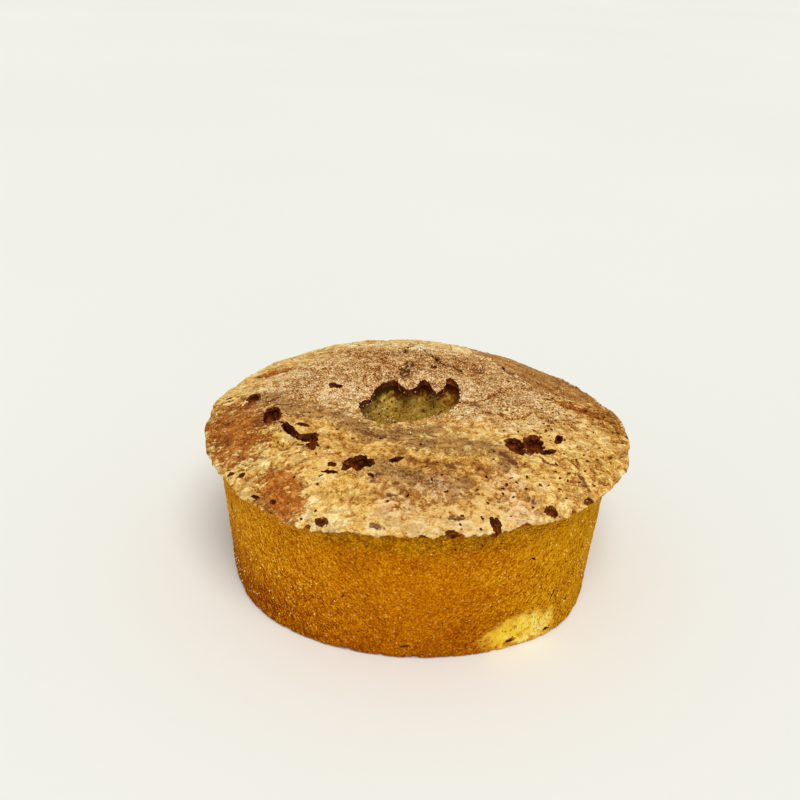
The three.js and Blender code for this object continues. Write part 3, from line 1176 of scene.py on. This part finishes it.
def plain_skin(spot, sandy, grain):
    """Even brown skin at the back, where the pale top layer is missing, streaked along the rim."""
    brown = srgb(158, 98, 40)
    light = srgb(212, 158, 88)
    x, y, z = apart(spot)
    along_rim = together((x - y) * 0.2, x + y, z * 2)
    streaks = noise(along_rim, 5, detail=4, roughness=0.65, seed=19) - 0.5
    tone = sandy * 1.2 + grain * 0.6 + streaks * 1.1
    return shades(tone, (-0.26, CRUST_DARK), (-0.04, brown), (0.22, light))


def rusty_layer(spot, to_crag, fine, grain, lumps, cloud):
    """The rust-brown layer that shows where skin flaked off, damp in places, with bits of skin left on."""
    rust = srgb(162, 84, 24)
    bright = srgb(218, 140, 50)
    wet = srgb(92, 44, 26)
    _, y, _ = apart(spot)
    tone = fine * 0.5 + grain * 0.7 + lumps * 0.7 + cloud * 0.3 + 0.06 * smooth(y, -60, -80)
    rusty = shades(tone, (-0.22, DEEP_RUST_AND_EDGE_SHADOW), (0, rust), (0.2, bright))
    rusty = mix(rusty, wet, smooth(to_crag + lumps * 10, 7, 1) * smooth(y, -75, -50) * 0.6)
    damp = noise(spot, 8, detail=3, roughness=0.6, seed=21) - 0.5
    rusty = mix(rusty, wet, smooth(damp, 0.04, 0.14) * 0.55)
    distance, draw = cells(spot, 3.2, seed=12)
    return mix(rusty, CRUST_CREAM, smooth(distance + grain, 0.95, 0.5) * smooth(draw, 0.2, 0.17) * 0.8)


def folded_skin(spot, fine, grain):
    """Skin pushed up into fine creases."""
    dark = srgb(98, 56, 26)
    light = srgb(196, 144, 78)
    creases = noise(spot * (0.3, 1.0, 1.0), 2.6, detail=3, roughness=0.65, seed=11) - 0.5
    return shades(creases + fine * 0.6 + grain * 0.4, (-0.2, dark), (0.16, light))


def crust_material():
    """Looks of the crust, from the pale skin down to the torn inside."""
    violet = srgb(108, 58, 38)
    violet_dark = srgb(74, 24, 18)
    painted_sheen_highlight = srgb(246, 220, 196)
    painted_front_highlight = srgb(230, 194, 148)
    crack_dark = srgb(62, 14, 0)
    crack_brown = srgb(132, 70, 20)
    edge_brown = srgb(150, 78, 28)
    torn_red = srgb(136, 60, 18)
    torn_dark = srgb(68, 20, 5)
    material, shader, ground = new_material("baked crust", specular=0.05)
    spot = attribute(ground, "rest", "Vector")
    x, y, _ = apart(spot)
    fine = noise(spot, 0.9, detail=2, roughness=0.6, seed=3) - 0.5
    sandy = noise(spot, 1, detail=3, roughness=0.7, seed=13) - 0.5
    grain = skin_grain(spot) - 0.5
    lumps = skin_lumps(spot) - 0.5
    cloud = noise(spot, 24, detail=3, roughness=0.55, seed=5) - 0.5
    grainy = smooth(hole_distance(x, y) + cloud * 50, 122, 74) * smooth(y + cloud * 40, -45, 0)
    to_right = smooth(x + cloud * 30, 45, 95)
    tone = fine * (0.26 + 0.3 * to_right) + sandy * grainy * 1.35
    tone = tone + grain * 0.4 + lumps * (0.75 + 0.1 * to_right)
    tone = tone + skin_shade(ground, spot, cloud, grainy)
    plates = skin_plates(spot)
    skin = pale_skin(tone, grainy, plates)
    plain = plain_zone(spot, attribute(ground, "plain"))
    skin = mix(skin, plain_skin(spot, sandy, grain), plain * 0.85)
    # Painted shade: a dark line along the edge of the pale layer round the plain patch.
    skin = mix(skin, CRUST_DARK, plain * (1 - plain) * 1.2)
    bare = bare_skin(spot, attribute(ground, "worn"))
    to_crag = attribute(ground, "crag")
    skin = mix(skin, rusty_layer(spot, to_crag, fine, grain, lumps, cloud), bare * 0.94)
    # Painted shadow: a dark rim round each bare patch, under the lifted edge of the skin.
    skin = mix(skin, DEEP_RUST_AND_EDGE_SHADOW, bare * (1 - bare) * 1.6)
    fold = smooth(attribute(ground, "fold") + lumps * 24 + grain * 14, 12, 3)
    skin = mix(skin, folded_skin(spot, fine, grain), fold * 0.92)
    # Painted highlight: a pale pink sheen on the skin at the front and along the sheen lines.
    at_front = smooth(y + cloud * 50, -55, -95) * smooth(x, -40, -10) * smooth(x, 60, 40)
    skin = mix(skin, painted_front_highlight, at_front * smooth(tone, -0.12, 0.1) * (1 - bare) * 0.3)
    sheen = smooth(attribute(ground, "sheen") + lumps * 14, 14, 3)
    skin = mix(skin, painted_sheen_highlight, sheen * smooth(tone, -0.1, 0.12) * 0.38)
    dent = smooth(attribute(ground, "dent") + lumps * 6 + grain * 4, 2.4, 0.5)
    skin = mix(skin, mix(violet, violet_dark, smooth(y, 20, 32)), dent * 0.88)
    crack = smooth(attribute(ground, "crack") + fine * 1.2, 1.15, 0.55)
    faint = smooth(x, 18, 30) * smooth(y, 48, 40)
    skin = mix(skin, mix(crack_dark, crack_brown, faint), crack)
    # The crags' raised rims are paler: partly pale skin, partly a painted highlight where the rims catch
    # the light.
    beside_crag = smooth(to_crag, 2.4, 0.4) * (1 - bare)
    skin = mix(skin, CRUST_CREAM, beside_crag * smooth(grain + fine, -0.08, 0.12) * 0.5)
    skin = mix(skin, edge_brown, smooth(attribute(ground, "under"), 0.1, 0.9) * 0.8)
    torn = most(smooth(attribute(ground, "torn"), 0.02, 0.3), smooth(to_crag, 0.3, 0.1))
    raw = shades(fine * 0.15 + grain * 0.25 + lumps, (-0.14, torn_dark), (0.2, torn_red))
    height = fine * (0.4 + 0.5 * grainy) + grain * 0.8 + lumps * 0.5 + plates * 0.2
    height = (height - bare * 0.3 - crack * 0.5) * (1 - 0.7 * torn)
    roughness = 0.92 - 0.2 * fold - 0.12 * sheen
    dress(shader, mix(skin, raw, torn * 0.96), roughness, height, bump_depth=0.6 * MM)
    return material


ground, size = new_tree("crust", crust_sizes)
outline = CakeOutline(size)
angle, share = grid_place(ground)
eased = share ** CRUST_ROW_EASE
shell = weld([
    mark(stretch(outline.crust_top, angle, eased, CRUST_SECTORS, CRUST_ROWS["top"]), "under", 0.0),
    mark(stretch(outline.crust_under, angle, share, CRUST_SECTORS, CRUST_ROWS["under"]), "under", 1.0),
])

# The rim, torn back and frayed, most of all at the front
spot = spot_of(ground)
x, y, _ = apart(spot)
flat = together(x, y, 0)
rim_radius = CAKE_SIZES["rim radius"] * TO_MM
at_rim = smooth(far(x, y), rim_radius - RIM_BAND, rim_radius)
notches = smooth(noise(spot, 8, detail=2, roughness=0.6, seed=6), 0.54, 0.66)
wear = noise(spot, 3.2, detail=3, roughness=0.65, seed=7) - 0.44
frays = noise(spot, 4.5, detail=3, roughness=0.65, seed=16) - 0.5
torn_back = size["rim notches"] * notches + size["rim wear"] * wear
at_front = smooth(y, -45, -85) * smooth(abs(x), 105, 85)
torn_back = torn_back * (0.3 + 0.7 * at_front)
inward = flat.node("ShaderNodeVectorMath", {"operation": "NORMALIZE"}, {0: flat * -1})
frayed = size["rim frays"] * frays * at_rim * at_front
moved = inward * (torn_back * at_rim) + together(0, 0, frayed)
shell = shifted(shell, moved)

# Pits, the crags and the torn lip
upward = smooth(upwardness(ground), 0.85, 0.95)
pitted = upward * (0.06 + 0.9 * smooth(x - y * 0.3, 45, 85) + 0.16 * smooth(y, -50, -90))
pits = strewn(shell, pitted, size["pit spacing"], CRUST_PIT_SMALL, CRUST_PIT_LARGE,
              tilt=0.2, detail=2, seed=21)
crags = crag_cutters(ground, spread=1)
shell = cut(shell, [lip_cutter(ground), *crags, pits])

# Distances from the lines on the skin and from the crags, and how worn the skin is
shell, spot = keep_place(shell)
x, y, _ = apart(spot)
flat = together(x, y, 0)
strayed = flat + stray(flat, LINE_STRAY_SCALE, LINE_STRAY_DETAIL, LINE_STRAY)
lines = {
    "crack": CRACKS,
    "fold": FOLDS,
    "browned": BROWNED,
    "plain": PLAIN,
    "dent": DENTS,
    "sheen": SHEEN,
}
away = {}
for name, table in lines.items():
    shell = mark(shell, name, line_distance(ground, table, strayed))
    away[name] = marked(ground, name)
to_crag = ground.node("GeometryNodeProximity", {"target_element": "FACES"},
                      {"Target": join(crags)}, "Distance")
shell = mark(shell, "crag", to_crag * TO_MM)
worn, sink = worn_patches(spot)
shell = mark(shell, "worn", worn)

# Fine relief
relief = size["skin"] * (1 - bare_skin(spot, marked(ground, "worn"))) - sink * MM
relief = relief + size["crag lift"] * smooth(marked(ground, "crag"), 5, 0)
relief = relief + size["plates"] * (skin_plates(spot) - 0.7)
relief = relief - size["plain sink"] * plain_zone(spot, away["plain"])
relief = relief + size["grain"] * (skin_grain(spot) - 0.5)
relief = relief + size["lumps"] * (skin_lumps(spot) - 0.5)
relief = relief - size["crack depth"] * smooth(away["crack"], 1.5, 0.4)
relief = relief - size["dent depth"] * smooth(away["dent"], 3, 0.6)
relief = relief + size["fold height"] * (smooth(away["fold"], 7, 2) - smooth(away["fold"], 2.5, 0.3))
shell = shifted(shell, together(0, 0, relief))
crust = make_piece("cake_crust", finish_mesh(shell, crust_material()), crust_sizes)
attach(crust, "root")
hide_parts("cake")

# Lifted flakes
# Scraps of the thin skin that dried, curled and came loose along the edges of the bare patches.
# Each is a fraction of a millimetre thick and still hangs on by one side.

flake_sizes = {"spacing": 4 * MM, "crust": crust}
FLAKE_SMALL = (1.2 * MM, 0.5 * MM, 0.12 * MM)
FLAKE_LARGE = (3.4 * MM, 1.1 * MM, 0.22 * MM)
FLAKE_TILT = 0.1
FLAKE_TURN = 0.35
FLAKE_SPIN = (STREAK_HEADING - FLAKE_TURN, STREAK_HEADING + FLAKE_TURN)
FLAKE_SHARE = 0.12
FLAKE_KINDS = 4
FIRST_FLAKE_SEED = 31


def surface_of(given):
    """The finished mesh of another piece."""
    return given.node("GeometryNodeObjectInfo", {"transform_space": "ORIGINAL"},
                      {"Object": given}, "Geometry")


def object_spot(ground):
    """A place on the object, in millimetres, for a material."""
    return ground.node("ShaderNodeTexCoord", out="Object") * TO_MM


def flake_material():
    cream = srgb(244, 206, 126)
    honey = srgb(212, 152, 70)
    brown = srgb(160, 96, 38)
    material, shader, ground = new_material("loose skin", specular=0.05)
    grain = noise(object_spot(ground), 1.2, detail=3, roughness=0.65, seed=3)
    colour = shades(grain, (0.32, brown), (0.46, honey), (0.62, cream))
    dress(shader, colour, grain * 0.2 + 0.75, grain, bump_depth=0.3 * MM)
    return material


ground, size = new_tree("flakes", flake_sizes)
surface = surface_of(size["crust"])
worn = marked(ground, "worn")
upward = smooth(upwardness(ground), 0.8, 0.95)
edges = smooth(worn, 0, 0.2) * upward * smooth(marked(ground, "torn"), 0.1, 0)
kinds = []
for seed in range(FIRST_FLAKE_SEED, FIRST_FLAKE_SEED + FLAKE_KINDS):
    kinds.append(strewn(surface, edges * FLAKE_SHARE, size["spacing"], FLAKE_SMALL, FLAKE_LARGE,
                        tilt=FLAKE_TILT, detail=3, seed=seed, spin=FLAKE_SPIN))
flakes = make_piece("skin_flakes", finish_mesh(join(kinds), flake_material()), flake_sizes)
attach(flakes, "root")

# Sugar grains and painted glints
# Grains of sugar that never melted into the batter and dried on its surface, pale and glassy.
# They lie thickest round the hole and are scattered over the wall; those on the wall and in the hole are
# painted glints.

grain_sizes = {"spacing": 1.5 * MM, "crust": crust, "crumb": crumb}
CRUST_GRAIN_SMALL = (0.3 * MM, 0.3 * MM, 0.25 * MM)
CRUST_GRAIN_LARGE = (0.65 * MM, 0.6 * MM, 0.5 * MM)
HOLE_GRAIN_SMALL = (0.35 * MM, 0.35 * MM, 0.3 * MM)
HOLE_GRAIN_LARGE = (0.95 * MM, 0.9 * MM, 0.7 * MM)
WALL_GRAIN_SMALL = (0.25 * MM, 0.22 * MM, 0.2 * MM)
WALL_GRAIN_LARGE = (0.95 * MM, 0.48 * MM, 0.4 * MM)
GRAIN_TILT = 1.5


def grain_material():
    clear_sugar_and_glint = srgb(255, 244, 214)
    cream = srgb(238, 202, 138)
    tan = srgb(186, 124, 58)
    golden = srgb(255, 226, 140)
    material, shader, ground = new_material("sugar grain and glint", specular=0.25)
    spot = object_spot(ground)
    x, y, z = apart(spot)
    from_hole = hole_distance(x, y)
    tint = noise(spot, 1.6, detail=2, roughness=0.6, seed=14)
    wall_glints = smooth(from_hole, 60, 70) * smooth(z, 84, 80)
    colour = shades(tint, (0.34, tan), (0.48, cream), (0.66, clear_sugar_and_glint))
    # Painted glints: the grains in the hole whiter and those on the wall golden.
    colour = mix(colour, clear_sugar_and_glint, smooth(from_hole, 48, 42) * 0.8)
    colour = mix(colour, golden, wall_glints * 0.9)
    dress(shader, colour, tint * 0.3 + 0.4, tint, bump_depth=0.1 * MM)
    return material


ground, size = new_tree("sugar", grain_sizes)
spot = spot_of(ground)
x, y, z = apart(spot)
clumps = smooth(noise(spot, 14, detail=3, roughness=0.6, seed=15), 0.42, 0.62)
untorn = smooth(marked(ground, "torn"), 0.1, 0)
from_hole = hole_distance(x, y)
unmarked = smooth(marked(ground, "crack"), 1, 2.5) * smooth(marked(ground, "dent"), 1.5, 3.5)
sanded = smooth(from_hole, 105, 50) * (0.4 + 0.6 * clumps) * smooth(y, -45, 0)
on_crust = untorn * unmarked * (0.01 + 0.7 * sanded)
# Painted glints: pale grains in the hole and at the ends and low left of the wall stand in for glints of
# light.
hole_band = smooth(from_hole, 50, 44) * smooth(z, 62, 69) * smooth(z, 86, 81)
hole_glints = hole_band * (0.004 + 0.24 * smooth(x, -9, -18))
low_left = smooth(x, -30, -75) * smooth(z, 62, 36)
left_end = smooth(x, -88, -104)
right_end = smooth(x, 58, 88) * smooth(z, 12, 26)
painted_glints = 0.001 + (0.14 * low_left + 0.08 * left_end + 0.2 * right_end) * (0.3 + 0.7 * clumps)
wall_glints = smooth(z, 5, 9) * smooth(z, 80, 74) * painted_glints
strewn_crust = strewn(surface_of(size["crust"]), on_crust, size["spacing"],
                      CRUST_GRAIN_SMALL, CRUST_GRAIN_LARGE, tilt=GRAIN_TILT, detail=1, seed=41)
strewn_hole = strewn(surface_of(size["crumb"]), hole_glints, size["spacing"],
                     HOLE_GRAIN_SMALL, HOLE_GRAIN_LARGE, tilt=GRAIN_TILT, detail=1, seed=45)
strewn_wall = strewn(surface_of(size["crumb"]), wall_glints, size["spacing"],
                     WALL_GRAIN_SMALL, WALL_GRAIN_LARGE, tilt=GRAIN_TILT, detail=1, seed=43)
joined = join([strewn_crust, strewn_hole, strewn_wall])
grains = make_piece("sugar_grains", finish_mesh(joined, grain_material()), grain_sizes)
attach(grains, "root")

# Loose crumbs
# Bits that broke off where the crust tore and where the foot chipped, small lumps of the soft inside.
# They lie in the crags, beside them and on the chipped foot.

loose_sizes = {"spacing": 2 * MM, "crust": crust, "crumb": crumb}
LOOSE_SMALL = (0.4 * MM, 0.4 * MM, 0.35 * MM)
LOOSE_LARGE = (1.2 * MM, 1 * MM, 0.8 * MM)
LOOSE_TILT = 1


def loose_material():
    golden = srgb(214, 150, 60)
    brown = srgb(150, 82, 30)
    material, shader, ground = new_material("loose crumb", specular=0.03)
    grain = noise(object_spot(ground), 1.6, detail=3, roughness=0.65, seed=16)
    colour = mix(brown, golden, smooth(grain, 0.38, 0.6))
    dress(shader, colour, grain * 0.2 + 0.75, grain, bump_depth=0.3 * MM)
    return material


ground, size = new_tree("loose crumbs", loose_sizes)
spot = spot_of(ground)
beside = smooth(marked(ground, "crag"), 6, 1) * smooth(marked(ground, "torn"), 0.1, 0) * 0.05
upward = smooth(upwardness(ground), 0.3, 0.8)
inside = smooth(marked(ground, "torn"), 0.8, 0.95) * upward * 0.008
chipped = chip_patch(spot) * smooth(apart(spot)[2], 3, 5) * 0.06
strewn_crust = strewn(surface_of(size["crust"]), beside, size["spacing"],
                      LOOSE_SMALL, LOOSE_LARGE, tilt=LOOSE_TILT, detail=2, seed=51)
strewn_crumb = strewn(surface_of(size["crumb"]), most(inside, chipped), size["spacing"],
                      LOOSE_SMALL, LOOSE_LARGE, tilt=LOOSE_TILT, detail=2, seed=53)
joined = join([strewn_crust, strewn_crumb])
loose = make_piece("loose_crumbs", finish_mesh(joined, loose_material()), loose_sizes)
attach(loose, "root")

# Floor, light and camera
# A plain pale floor under soft light from all round and from a broad lamp above the near side, seen
# from the height of someone standing at the table.

FLOOR_HALF = 30.0
FLOOR_DROP = 0.2 * MM
FLOOR_SHADE = srgb(238, 239, 233)
FLOOR_LIGHT = srgb(244, 245, 240)
ROOM_LIGHT = 0.48
ROOM_COLOUR = (1.0, 0.995, 0.975, 1)
LAMP_COLOUR = (1.0, 0.99, 0.96)
LAMP_STRENGTH = 1.9
LAMP_SPREAD = 35 * DEGREE
LAMP_FROM = Vector((0.12, -0.5, 0.9))
LENS = 43.9
CAMERA_TARGET = Vector((-10.86 * MM, 0, 99.2 * MM))
CAMERA_DISTANCE = 571.4 * MM
CAMERA_TILT = 0.457
CAMERA_ROLL = 0.034

floor_mesh = bpy.data.meshes.new("floor")
corners = [(a * FLOOR_HALF, b * FLOOR_HALF, -FLOOR_DROP) for a, b in ((-1, -1), (1, -1), (1, 1), (-1, 1))]
floor_mesh.from_pydata(corners, [], [(0, 1, 2, 3)])
floor = bpy.data.objects.new("floor", floor_mesh)
bpy.context.scene.collection.objects.link(floor)
floor_material, floor_shader, ground = new_material("pale floor", specular=0.1)
floor_spot = object_spot(ground)
floor_tint = mix(FLOOR_SHADE, FLOOR_LIGHT, noise(floor_spot, 900))
floor_roughness = noise(floor_spot, 40) * 0.1 + 0.8
dress(floor_shader, floor_tint, floor_roughness, noise(floor_spot, 3), bump_depth=0.02 * MM)
floor.data.materials.append(floor_material)

world = bpy.data.worlds.new("soft room")
bpy.context.scene.world = world
world.use_nodes = True
world.node_tree.nodes["Background"].inputs["Color"].default_value = ROOM_COLOUR
world.node_tree.nodes["Background"].inputs["Strength"].default_value = ROOM_LIGHT

lamp_light = bpy.data.lights.new("broad lamp", "SUN")
lamp_light.energy = LAMP_STRENGTH
lamp_light.angle = LAMP_SPREAD
lamp_light.color = LAMP_COLOUR
lamp = bpy.data.objects.new("broad lamp", lamp_light)
lamp.rotation_euler = LAMP_FROM.to_track_quat("Z", "Y").to_euler()
bpy.context.scene.collection.objects.link(lamp)

camera_data = bpy.data.cameras.new("camera")
camera_data.lens = LENS
camera = bpy.data.objects.new("camera", camera_data)
bpy.context.scene.collection.objects.link(camera)
back = Vector((0, -math.cos(CAMERA_TILT), math.sin(CAMERA_TILT)))
right = Vector((1, 0, 0))
up = back.cross(right)
turned_right = math.cos(CAMERA_ROLL) * right + math.sin(CAMERA_ROLL) * up
turned_up = -math.sin(CAMERA_ROLL) * right + math.cos(CAMERA_ROLL) * up
facing = Matrix((turned_right, turned_up, back)).transposed().to_4x4()
camera.matrix_world = Matrix.Translation(CAMERA_TARGET + back * CAMERA_DISTANCE) @ facing
bpy.context.scene.camera = camera
bpy.context.scene.view_settings.view_transform = "Standard"
